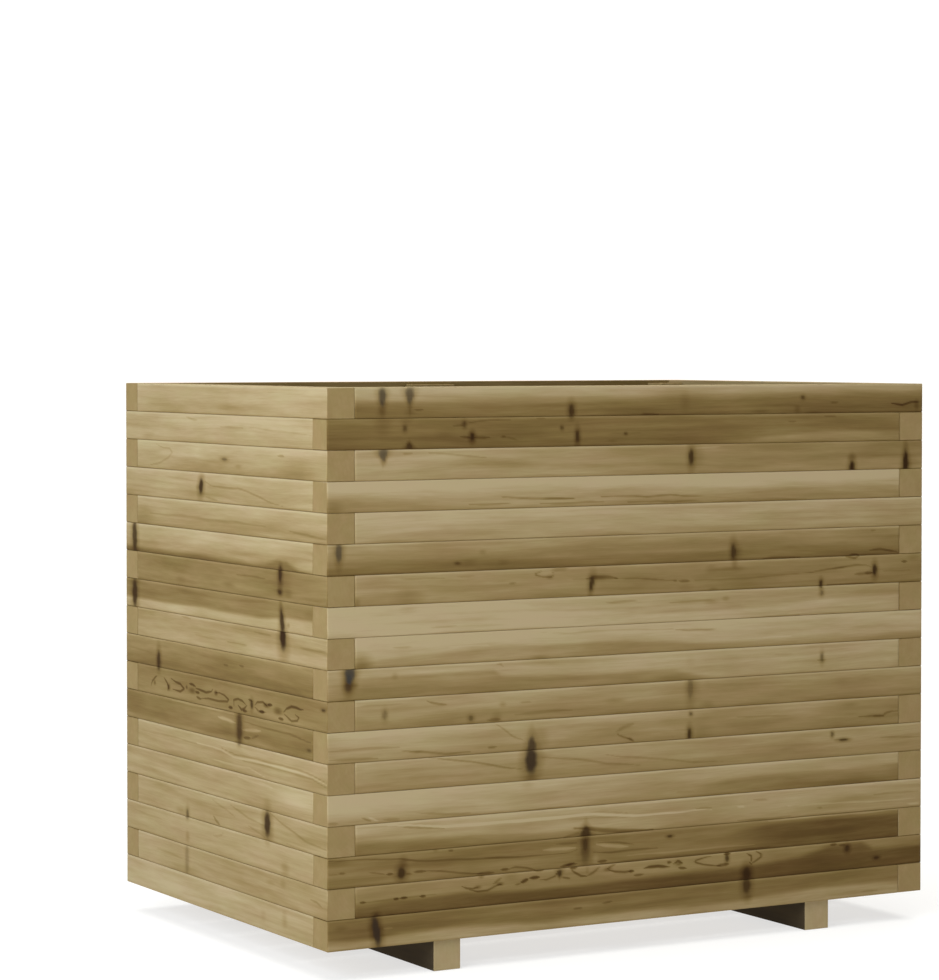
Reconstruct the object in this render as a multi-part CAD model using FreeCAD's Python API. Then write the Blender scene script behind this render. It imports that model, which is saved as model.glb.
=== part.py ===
import FreeCAD, Part
import os
from collections import namedtuple

# Raised garden bed of planed square timber. Beams are stacked in courses and lapped at the
# corners like fingers, and are screwed from inside to four corner posts and two battens.
# A slatted floor lies on two skids that run from front to back under the walls.
# Millimetres, +Z up, +X along the long walls, the front wall at -Y. The origin is on the
# ground, under the middle of the bed.

# Walls, measured outside
LENGTH = 900.0
DEPTH = 600.0
COURSES = 18
BEAM_THICK = 38.0
BEAM_HEIGHT = 38.0
EDGE_ROUND = 1.0  # planed edge of every timber

# Skids
SKID_WIDTH = 38.0
SKID_HEIGHT = 38.0
SKID_INSET = 150.0  # from the end of the bed to the skid's outer side
SKID_SETBACK = 5.0  # from the wall's face to the skid's end

# Corner posts and wall battens
POST_SIDE = 38.0
BATTEN_WIDTH = 70.0
BATTEN_THICK = 18.0
RIM_DROP = 4.0  # tops of posts and battens below the rim

# Floor
BOARD_COUNT = 5
BOARD_THICK = 18.0
BOARD_GAP = 8.0  # drainage slot between boards, and beside the front and back walls
BOARD_END_GAP = 2.0  # room to swell at the side walls
NOTCH_CLEARANCE = 2.0  # board corners round the posts

# Countersunk wood screws
SCREW_SHANK = 4.5
SCREW_HEAD = 9.0
SCREW_POINT = 6.0
SCREW_BITE = 22.0  # length held in the second timber
HOLE_SLACK = 0.25  # on the radius, round the shank in the first timber
DRIVE_FLATS = 3.2  # hexagonal drive recess
DRIVE_DEPTH = 1.8
SCREW_EDGE = 18.0  # screw to the edge or end of a board
SCREW_STAGGER = 6.0  # post screws above or below mid course, so that they miss each other
SKID_SCREW_SPREAD = 10.0  # pair of skid screws, each side of the skid's middle

WALL_BASE = SKID_HEIGHT
RIM = WALL_BASE + COURSES * BEAM_HEIGHT
INNER_X = LENGTH / 2 - BEAM_THICK
INNER_Y = DEPTH / 2 - BEAM_THICK
WALL_X = LENGTH / 2 - BEAM_THICK / 2
WALL_Y = DEPTH / 2 - BEAM_THICK / 2
POST_X = INNER_X - POST_SIDE / 2
POST_Y = INNER_Y - POST_SIDE / 2
SKID_X = LENGTH / 2 - SKID_INSET - SKID_WIDTH / 2
FLOOR_TOP = WALL_BASE + BOARD_THICK
BOARD_WIDTH = (2 * INNER_Y - (BOARD_COUNT + 1) * BOARD_GAP) / BOARD_COUNT

CORNERS = {
    "front_left": (-1, -1),
    "front_right": (1, -1),
    "back_left": (-1, 1),
    "back_right": (1, 1),
}
ENDS = {"left": -1, "right": 1}
LONG_WALLS = {"front": -1, "back": 1}

Screw = namedtuple("Screw", "head direction length")


# Timber

def eased_bar(size, middle, base):
    """A straight timber with rounded edges, centred on middle (x, y), its underside at base."""
    corner = FreeCAD.Vector(middle[0] - size[0] / 2, middle[1] - size[1] / 2, base)
    bar = Part.makeBox(*size, corner)
    return bar.makeFillet(EDGE_ROUND, bar.Edges)


def course_base(course):
    """Underside of a course, counted from 1 at the bottom."""
    return WALL_BASE + (course - 1) * BEAM_HEIGHT


def course_middle(course):
    return course_base(course) + BEAM_HEIGHT / 2


# Screws

def screw_body(screw, slack=0.0):
    """Countersunk head, plain shank and point, turned about the screw's own axis."""
    shank = SCREW_SHANK / 2 + slack
    under_head = SCREW_HEAD / 2 - shank
    outline = [
        (0, 0),
        (SCREW_HEAD / 2, 0),
        (shank, under_head),
        (shank, screw.length - SCREW_POINT),
        (0, screw.length),
        (0, 0),
    ]
    profile = Part.Face(Part.makePolygon([FreeCAD.Vector(r, 0, z) for r, z in outline]))
    body = profile.revolve(FreeCAD.Vector(), FreeCAD.Vector(0, 0, 1), 360)
    return place_screw(body, screw)


def drive_recess(screw):
    """Hexagonal pocket in the head."""
    hexagon = Part.makePolygon(hexagon_points(DRIVE_FLATS))
    pocket = Part.Face(hexagon).extrude(FreeCAD.Vector(0, 0, DRIVE_DEPTH))
    return place_screw(pocket, screw)


def hexagon_points(across_flats):
    """Closed ring of corners, flat sides facing +X and -X."""
    corner = FreeCAD.Vector(0, across_flats / 3**0.5, 0)
    turn = FreeCAD.Rotation(FreeCAD.Vector(0, 0, 1), 60)
    ring = [corner]
    for _ in range(6):
        ring.append(turn.multVec(ring[-1]))
    ring[-1] = corner
    return ring


def place_screw(shape, screw):
    """Turns a shape made along +Z to the screw's direction, with the head at its place."""
    turn = FreeCAD.Rotation(FreeCAD.Vector(0, 0, 1), FreeCAD.Vector(*screw.direction))
    shape.Placement = FreeCAD.Placement(FreeCAD.Vector(*screw.head), turn)
    return shape


def screw_solids(screws):
    return [screw_body(screw).cut(drive_recess(screw)) for screw in screws]


def clearance_holes(screws):
    """Holes in the timber that the screws clamp, countersunk for their heads."""
    return [screw_body(screw, HOLE_SLACK) for screw in screws]


def pilot_holes(screws):
    """Holes in the timber that the screws bite into."""
    return [screw_body(screw) for screw in screws]


def drill(timber, holes):
    """Cuts every hole that reaches this timber."""
    reached = [hole for hole in holes if timber.BoundBox.intersect(hole.BoundBox)]
    return timber.cut(reached) if reached else timber


def post_screws(corner):
    """Two screws in each course: one into the long wall and one into the side wall."""
    side_x, side_y = CORNERS[corner]
    length = POST_SIDE + SCREW_BITE
    screws = []
    for course in range(1, COURSES + 1):
        high = course_middle(course) + SCREW_STAGGER
        low = course_middle(course) - SCREW_STAGGER
        face_y = side_y * (INNER_Y - POST_SIDE)
        face_x = side_x * (INNER_X - POST_SIDE)
        screws.append(Screw((side_x * POST_X, face_y, high), (0, side_y, 0), length))
        screws.append(Screw((face_x, side_y * POST_Y, low), (side_x, 0, 0), length))
    return screws


def batten_screws(wall):
    """One screw in each course that the batten covers, to the left and right in turn."""
    side_y = LONG_WALLS[wall]
    spread = BATTEN_WIDTH / 2 - SCREW_EDGE
    face_y = side_y * (INNER_Y - BATTEN_THICK)
    screws = []
    for course in range(1, COURSES + 1):
        height = course_middle(course)
        if height < FLOOR_TOP + SCREW_EDGE:
            continue
        across = spread if course % 2 == 0 else -spread
        screws.append(Screw((across, face_y, height), (0, side_y, 0), BATTEN_THICK + SCREW_BITE))
    return screws


def floor_screws():
    """A pair through each board into each skid."""
    spread = BOARD_WIDTH / 2 - SCREW_EDGE
    length = BOARD_THICK + SCREW_BITE
    return [
        Screw((end * SKID_X, middle + side * spread, FLOOR_TOP), (0, 0, -1), length)
        for middle in board_middles()
        for end in ENDS.values()
        for side in (-1, 1)
    ]


def skid_screws():
    """A pair up through each skid into the lowest beam of the front and back walls."""
    length = SKID_HEIGHT + SCREW_BITE
    return [
        Screw((end * SKID_X + side * SKID_SCREW_SPREAD, wall * WALL_Y, 0), (0, 0, 1), length)
        for end in ENDS.values()
        for wall in LONG_WALLS.values()
        for side in (-1, 1)
    ]


# Pieces

def long_beams(course, holes):
    """Front and back beams. Each reaches one corner, and the next course reaches the other."""
    size = (LENGTH - BEAM_THICK, BEAM_THICK, BEAM_HEIGHT)
    lap = BEAM_THICK / 2 if course % 2 == 0 else -BEAM_THICK / 2
    return [
        drill(eased_bar(size, (-side * lap, side * WALL_Y), course_base(course)), holes)
        for side in LONG_WALLS.values()
    ]


def side_beams(course, holes):
    """Left and right beams, which fill the corners that the long beams leave."""
    size = (BEAM_THICK, DEPTH - BEAM_THICK, BEAM_HEIGHT)
    lap = BEAM_THICK / 2 if course % 2 == 0 else -BEAM_THICK / 2
    return [
        drill(eased_bar(size, (side * WALL_X, side * lap), course_base(course)), holes)
        for side in ENDS.values()
    ]


def corner_post(corner, screws):
    side_x, side_y = CORNERS[corner]
    size = (POST_SIDE, POST_SIDE, RIM - RIM_DROP - WALL_BASE)
    post = eased_bar(size, (side_x * POST_X, side_y * POST_Y), WALL_BASE)
    return drill(post, clearance_holes(screws))


def wall_batten(wall, screws):
    """Stands on the floor at the middle of a long wall."""
    middle_y = LONG_WALLS[wall] * (INNER_Y - BATTEN_THICK / 2)
    size = (BATTEN_WIDTH, BATTEN_THICK, RIM - RIM_DROP - FLOOR_TOP)
    return drill(eased_bar(size, (0, middle_y), FLOOR_TOP), clearance_holes(screws))


def board_middles():
    """Y of each floor board's centre line, from front to back."""
    first = -INNER_Y + BOARD_GAP + BOARD_WIDTH / 2
    return [first + i * (BOARD_WIDTH + BOARD_GAP) for i in range(BOARD_COUNT)]


def post_rooms():
    """Upright boxes round the posts that a floor board keeps clear of."""
    side = POST_SIDE + 2 * NOTCH_CLEARANCE
    rooms = []
    for side_x, side_y in CORNERS.values():
        corner = FreeCAD.Vector(side_x * POST_X - side / 2, side_y * POST_Y - side / 2, 0)
        rooms.append(Part.makeBox(side, side, RIM, corner))
    return rooms


def floor_board(middle_y, screws):
    """Lies across both skids. A board beside a wall is notched round the corner posts."""
    size = (2 * (INNER_X - BOARD_END_GAP), BOARD_WIDTH, BOARD_THICK)
    board = eased_bar(size, (0, middle_y), WALL_BASE).cut(post_rooms())
    return drill(board, clearance_holes(screws))


def skid(end, under_screws, over_screws):
    """Runs from front to back under the walls. It is clear for one set and holds the other."""
    size = (SKID_WIDTH, DEPTH - 2 * SKID_SETBACK, SKID_HEIGHT)
    bar = eased_bar(size, (ENDS[end] * SKID_X, 0), 0)
    return drill(bar, clearance_holes(under_screws) + pilot_holes(over_screws))


def export(node, solids):
    shape = solids[0] if len(solids) == 1 else Part.makeCompound(solids)
    shape.exportStep(os.path.join("parts", node + ".step"))


def main():
    os.makedirs("parts", exist_ok=True)
    of_corner = {corner: post_screws(corner) for corner in CORNERS}
    of_wall = {wall: batten_screws(wall) for wall in LONG_WALLS}
    of_floor = floor_screws()
    of_skids = skid_screws()
    in_walls = sum(of_corner.values(), []) + sum(of_wall.values(), []) + of_skids
    wall_holes = pilot_holes(in_walls)

    for course in range(1, COURSES + 1):
        export(f"course_{course:02d}_long_beams", long_beams(course, wall_holes))
        export(f"course_{course:02d}_side_beams", side_beams(course, wall_holes))
    for corner, screws in of_corner.items():
        export(f"{corner}_post", [corner_post(corner, screws)])
        export(f"{corner}_post_screws", screw_solids(screws))
    for wall, screws in of_wall.items():
        export(f"{wall}_batten", [wall_batten(wall, screws)])
        export(f"{wall}_batten_screws", screw_solids(screws))
    for number, middle_y in enumerate(board_middles(), 1):
        export(f"floor_board_{number}", [floor_board(middle_y, of_floor)])
    export("floor_screws", screw_solids(of_floor))
    for end in ENDS:
        export(f"{end}_skid", [skid(end, of_skids, of_floor)])
    export("skid_screws", screw_solids(of_skids))


main()
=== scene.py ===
import math
import random
from collections import namedtuple

import bpy
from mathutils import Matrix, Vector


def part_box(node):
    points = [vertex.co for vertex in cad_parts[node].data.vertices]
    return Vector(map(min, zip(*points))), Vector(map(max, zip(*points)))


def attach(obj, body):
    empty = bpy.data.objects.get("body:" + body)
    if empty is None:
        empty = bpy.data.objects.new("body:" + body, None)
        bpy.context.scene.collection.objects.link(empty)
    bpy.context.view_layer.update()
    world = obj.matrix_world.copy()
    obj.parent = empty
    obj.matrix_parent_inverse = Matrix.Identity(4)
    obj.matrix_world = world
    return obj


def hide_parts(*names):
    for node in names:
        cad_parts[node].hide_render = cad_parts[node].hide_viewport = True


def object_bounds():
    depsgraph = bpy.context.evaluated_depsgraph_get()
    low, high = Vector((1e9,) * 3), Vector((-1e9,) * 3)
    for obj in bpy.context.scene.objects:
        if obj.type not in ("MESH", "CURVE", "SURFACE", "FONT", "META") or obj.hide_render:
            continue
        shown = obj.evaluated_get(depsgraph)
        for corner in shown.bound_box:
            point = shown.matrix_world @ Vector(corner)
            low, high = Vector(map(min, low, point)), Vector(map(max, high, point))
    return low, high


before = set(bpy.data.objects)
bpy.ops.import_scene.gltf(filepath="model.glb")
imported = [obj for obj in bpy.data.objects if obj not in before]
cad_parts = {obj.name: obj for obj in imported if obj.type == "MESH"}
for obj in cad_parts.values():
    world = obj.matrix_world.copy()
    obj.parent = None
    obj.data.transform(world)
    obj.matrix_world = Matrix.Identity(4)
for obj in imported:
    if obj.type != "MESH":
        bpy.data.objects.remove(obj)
cad_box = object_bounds()


# Skids: two square runners under the bed, from front to back, that keep the walls off the wet ground.
# Pine, planed and pressure treated, with pale sawn ends, and sides painted dark and grey with the shade that
# falls under the bed.
# They are screwed up into the lowest beams of the front and back walls.

METRE = 1000.0  # sizes here are in millimetres, and Blender's in metres
RING_GAP = 5.0  # between growth rings
RING_SCALE = 0.314  # of a wave pattern whose rings are one millimetre apart
RING_STRETCH = (0.1, 1, 1)  # draws the rings out along the timber
RING_WAVER = 5.0  # how far the rings stray from circles
WAVER_SCALE = 0.45  # how finely they stray
RIM_POWER = 3.0  # narrows the dark rim of late wood that ends each ring
RIM_TONE = -0.014  # how far that rim lowers the tone
RIM_RIDGE = 0.4  # how high it stands beside the fibres
STREAK = (190.0, 6.0, 0.10)  # a streak of colour in the grain: its length, width and share in the tone
CLOUD = (150.0, 18.0, 0.22)  # a broad light or dark zone
FIBRE = (26.0, 1.3, 0.065)  # fibre bundles, drawn coarser than real ones so that they show
FIGURE_MEAN = 0.19  # about what all of these add to the tone on average, which is taken off again
BLUSH = (90.0, 24.0)  # length and width of a pinker or greener place
RIDGE = 0.2  # height of the raised grain
RIDGE_STRENGTH = 0.35  # how much of it the light shows
END_GRAIN = 0.66  # tone of a sawn end
END_FIGURE = 0.3  # share of the wood's figure that shows there
END_SKIN = 0.5  # how far from its sawn face a timber shows end grain


def linear(hex_colour):
    """An sRGB hex colour as linear red, green, blue and alpha."""
    parts = [int(hex_colour[i:i + 2], 16) / 255 for i in (1, 3, 5)]
    return [p / 12.92 if p <= 0.04045 else ((p + 0.055) / 1.055) ** 2.4 for p in parts] + [1.0]


def add_node(tree, kind, settings, inputs):
    """Adds a shader node with its settings, links or fills its inputs, and returns its outputs."""
    node = tree.nodes.new("ShaderNode" + kind)
    for name, value in settings.items():
        setattr(node, name, value)
    for socket, value in inputs.items():
        if isinstance(value, bpy.types.NodeSocket):
            tree.links.new(value, node.inputs[socket])
        else:
            node.inputs[socket].default_value = value
    return node.outputs


def bare_material(name):
    """A new material with no nodes yet."""
    material = bpy.data.materials.new(name)
    material.use_nodes = True
    material.node_tree.nodes.clear()
    return material


def dress(piece, material):
    """Gives a piece one finish all over."""
    piece.data.materials.clear()
    piece.data.materials.append(material)


def pine_colour(tree, tone, place):
    """Olive tan of treated pine, from wet brown at a low tone to pale straw at a high one, in places a little
    pinker and in others greener."""
    ramp = add_node(tree, "ValToRGB", {}, {"Fac": tone})["Color"]
    stops = ramp.node.color_ramp.elements
    shades = [(0.31, "#402d15"), (0.43, "#594525"), (0.55, "#73603a"), (0.66, "#8a7752"),
              (0.73, "#998866"), (0.80, "#a79879")]
    for position, shade in shades[1:-1]:
        stops.new(position)
    for stop, (position, shade) in zip(stops, shades):
        stop.position = position
        stop.color = linear(shade)
    length, width = BLUSH
    stretched = add_node(tree, "VectorMath", {"operation": "MULTIPLY"},
                         {0: place, 1: (1 / length, 1 / width, 1 / width)})[0]
    blush = add_node(tree, "TexNoise", {}, {"Vector": stretched, "Scale": 1.0, "Detail": 2.0})[0]
    tint = add_node(tree, "MixRGB", {},
                    {"Fac": blush, "Color1": linear("#fff6f8"), "Color2": linear("#f9fff0")})[0]
    return add_node(tree, "MixRGB", {"blend_type": "MULTIPLY"},
                    {"Fac": 1.0, "Color1": ramp, "Color2": tint})[0]


def pine_figure(tree, place, heart):
    """Growth rings, streaks and fibre of pine that grew along X, in millimetres round its heart.
    Returns how much lighter or darker the wood is than its own tone, and the height of its ridges."""
    from_heart = add_node(tree, "VectorMath", {"operation": "SUBTRACT"}, {0: place, 1: heart})[0]
    trunk = add_node(tree, "VectorMath", {"operation": "MULTIPLY"}, {0: from_heart, 1: RING_STRETCH})[0]
    rings = add_node(tree, "TexWave", {"wave_type": "RINGS", "rings_direction": "X"},
                     {"Vector": trunk, "Scale": RING_SCALE / RING_GAP, "Distortion": RING_WAVER,
                      "Detail": 2.0, "Detail Scale": WAVER_SCALE})["Fac"]
    rim = add_node(tree, "Math", {"operation": "POWER"}, {0: rings, 1: RIM_POWER})[0]
    figure = add_node(tree, "Math", {"operation": "MULTIPLY_ADD"}, {0: rim, 1: RIM_TONE, 2: -FIGURE_MEAN})[0]
    for length, width, share in (STREAK, CLOUD, FIBRE):
        stretched = add_node(tree, "VectorMath", {"operation": "MULTIPLY"},
                             {0: place, 1: (1 / length, 1 / width, 1 / width)})[0]
        marks = add_node(tree, "TexNoise", {}, {"Vector": stretched, "Scale": 1.0, "Detail": 3.0})[0]
        figure = add_node(tree, "Math", {"operation": "MULTIPLY_ADD"}, {0: marks, 1: share, 2: figure})[0]
    # The fibres are the last of these marks, and stand up as ridges with the rims.
    ridges = add_node(tree, "Math", {"operation": "MULTIPLY_ADD"}, {0: rim, 1: RIM_RIDGE, 2: marks})[0]
    return figure, ridges


def pine_tone(tree, tone, figure, at_end, end_tone):
    """How light the wood is: its own tone with all its figure on the sides, and plainer on a sawn end."""
    side = add_node(tree, "Math", {"operation": "ADD"}, {0: figure, 1: tone})[0]
    end = add_node(tree, "Math", {"operation": "MULTIPLY_ADD"}, {0: figure, 1: END_FIGURE, 2: end_tone})[0]
    return add_node(tree, "Mix", {"data_type": "FLOAT"}, {0: at_end, 2: side, 3: end})[0]


def pine_surface(tree, colour, ridges):
    """Ends a pine material: dry and matt with hardly any gloss, and a faint raised grain."""
    relief = add_node(tree, "Bump", {},
                      {"Strength": RIDGE_STRENGTH, "Distance": RIDGE / METRE, "Height": ridges})[0]
    shader = add_node(tree, "BsdfPrincipled", {},
                      {"Base Color": colour, "Roughness": 0.8, "Specular IOR Level": 0.06,
                       "Normal": relief})[0]
    add_node(tree, "OutputMaterial", {}, {"Surface": shader})


def dress_in_pine(node, tone, turn, heart, ends, end_tone=END_GRAIN, side_shade=0.0):
    """Gives a timber planed treated pine of its own: soft streaks along its length, plain end grain in
    another tone, and painted grey shade on its sides if it has any side shade. turn brings its length and
    ends onto X."""
    material = bare_material(node + "_treated_pine")
    tree = material.node_tree
    place = add_node(tree, "TexCoord", {}, {})["Object"]
    grain = add_node(tree, "Mapping", {}, {"Vector": place, "Rotation": turn, "Scale": (METRE,) * 3})[0]
    figure, ridges = pine_figure(tree, grain, heart)
    along = add_node(tree, "SeparateXYZ", {}, {0: grain})["X"]
    off_middle = add_node(tree, "Math", {"operation": "SUBTRACT"}, {0: along, 1: sum(ends) / 2})[0]
    off_middle = add_node(tree, "Math", {"operation": "ABSOLUTE"}, {0: off_middle})[0]
    at_end = add_node(tree, "Math", {"operation": "GREATER_THAN"},
                      {0: off_middle, 1: (ends[1] - ends[0]) / 2 - END_SKIN})[0]
    colour = pine_colour(tree, pine_tone(tree, tone, figure, at_end, end_tone), grain)
    # Painted shade: a timber's sides, not its sawn ends, are mixed towards dark grey.
    side_shade_share = add_node(tree, "Math", {"operation": "MULTIPLY_ADD"}, {0: at_end, 1: -side_shade, 2: side_shade})[0]
    colour = add_node(tree, "MixRGB", {}, {"Fac": side_shade_share, "Color1": colour, "Color2": linear("#2f2f2a")})[0]
    pine_surface(tree, colour, ridges)
    dress(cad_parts[node], material)


ALONG_Y = (0.0, 0.0, math.radians(90))
SKID_END = 0.75  # tone of a skid's end
SKID_SIDE_SHADE = 0.65  # how far painted grey shade covers its sides
# Painted shade: the skids' sides get a low tone, darker than any other timber, for the shade under the bed.
for node, tone, heart in (("left_skid", 0.39, (0, 330, 60)), ("right_skid", 0.38, (0, -310, -25))):
    low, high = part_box(node)
    ends = (METRE * low.y, METRE * high.y)
    dress_in_pine(node, tone, ALONG_Y, heart, ends, SKID_END, SKID_SIDE_SHADE)


# Floor: five boards across the skids, with slots between them that let water out.
# Planed treated pine, the outer two notched round the corner posts, each screwed down to both skids.

ALONG_X = (0.0, 0.0, 0.0)
HEART_ASIDE = 9.0  # how far beside a board's middle the heart of its log was, on either side in turn
HEART_DEPTH = 30.0  # how far under the ground that heart would lie
HEART_RISE = 5.0  # how much higher it would lie from each board to the next
board_tones = (0.67, 0.62, 0.69, 0.60, 0.655)
for number, tone in enumerate(board_tones, start=1):
    node = f"floor_board_{number}"
    low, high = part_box(node)
    aside = HEART_ASIDE * (-1) ** number
    heart = (0, METRE * (low.y + high.y) / 2 + aside, HEART_RISE * number - HEART_DEPTH)
    ends = (METRE * low.x, METRE * high.x)
    dress_in_pine(node, tone, ALONG_X, heart, ends)


# Beams: 72 square bars in 18 courses, four to a course, that stand on each other and make the walls.
# Each reaches past the wall beside it at one end, and the course above at the other, so that the corners
# lap like fingers. Planed treated pine with eased edges, screwed from inside to the posts and battens.

low, high = cad_box
BED_LENGTH = round(METRE * (high[0] - low[0]), 1)
BED_DEPTH = round(METRE * (high[1] - low[1]), 1)
low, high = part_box("course_01_long_beams")
WALL_BASE = round(METRE * low.z, 1)
BEAM = round(METRE * (high.z - low.z), 1)
COURSES = sum(node.endswith("_long_beams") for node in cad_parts)
EASED_EDGE = 1.0  # how far a planed edge is rounded back
NEAR = 0.01  # two places closer than this are the same
LENGTHWISE = 0.9  # an edge runs along the beam if this share of it does
STAIN = 0.17  # how much tone a mark takes that is wholly dark
TOP_EDGE_HIGHLIGHT = 0.06  # painted highlight: how much lighter the rounded top edge is, where it catches the light
HIGHLIGHT_BAND = (4.0, 1.0)  # how far below the beam's top the painted highlight begins, and where it is whole
UNDER_EDGE_SHADE = 0.05  # painted shade: how much darker an underside's edge is, where it faces down
UNDER_SHADE_BAND = (0.5, 3.5)  # how far above the beam's underside the painted shade is whole, and where it ends
JOINT_SHADE = 0.16  # painted shade: how much darker the eased edges are down in a joint
SOFT_END = 90.0  # length in which a border between two tones fades out at its ends

# How marks fade, from where they are whole to where they end. A knot and its halo fade over so many of its
# half widths, a streak over so many of its half heights, and a patch over so many of its half sizes.
KNOT_FADE = (0.5, 1.12)
HALO_FADE = (0.6, 2.3)
STREAK_FADE = (0.35, 1.4)
PATCH_FADE = (0.0, 2.0)
HALO_STAIN = 0.7  # how dark the halo is beside the knot
STREAK_STAIN = 1.15  # how dark a streak is beside a patch
STREAK_TIP = 0.35  # share of its height that a streak has at its ends
STREAK_TAPER = 0.3  # share of its length in which it grows to its height
KNOT_TIP = 0.2  # least share of its width that a tapering knot keeps
KNOT_WAVER = (0.05, 1.9)  # how far a knot's sides waver, in half widths, and over what height
KNOT_REACH = 6.0  # half widths beside a knot past which nothing of it shows
PATCH_REACH = 2.4  # half lengths beside a patch
STREAK_REACH = 2.0  # half heights past a streak's ends

# Waves that lines in the wood follow: how high each is, over what length, and how its start is turned.
LINE_WAVES = ((0.5, 23.0, 1.0), (0.2, 9.7, 2.3))
LOG_WAVES = ((2.0, 130.0, 1.0), (0.8, 47.0, 2.0))
BORDER_WAVER = 1.5  # how much higher a border's waves are than a line's
BORDER_RUN = 2.0  # how much longer
LOG_RUN = 90000.0  # length of log from which the beams' places are drawn
BEAM_HEART_ASIDE = (25.0, 70.0)  # how far the log's heart is from a beam's outer face, outward or inward
BEAM_HEART_ABOVE = (-10.0, 50.0)  # how far it is above the beam's underside

# A knot is a branch cut along its length, from its top to its foot, brown or in part stained blue. A streak
# is a line of resin or of late wood, a patch a soft spot, and a border the edge of wood that is darker
# underneath. A minus lightens.
Knot = namedtuple("Knot", "along top foot half_width dark taper lean blue", defaults=(0.0, 0.0, 0.0))
Streak = namedtuple("Streak", "half_height dark points")
Patch = namedtuple("Patch", "along up half_length half_height dark")
Border = namedtuple("Border", "softness dark points")
Look = namedtuple("Look", "tone fade drift marks")


def line(half_height, dark, start, end, up):
    """A streak that runs level."""
    return Streak(half_height, dark, ((start, up), (end, up)))


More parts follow.
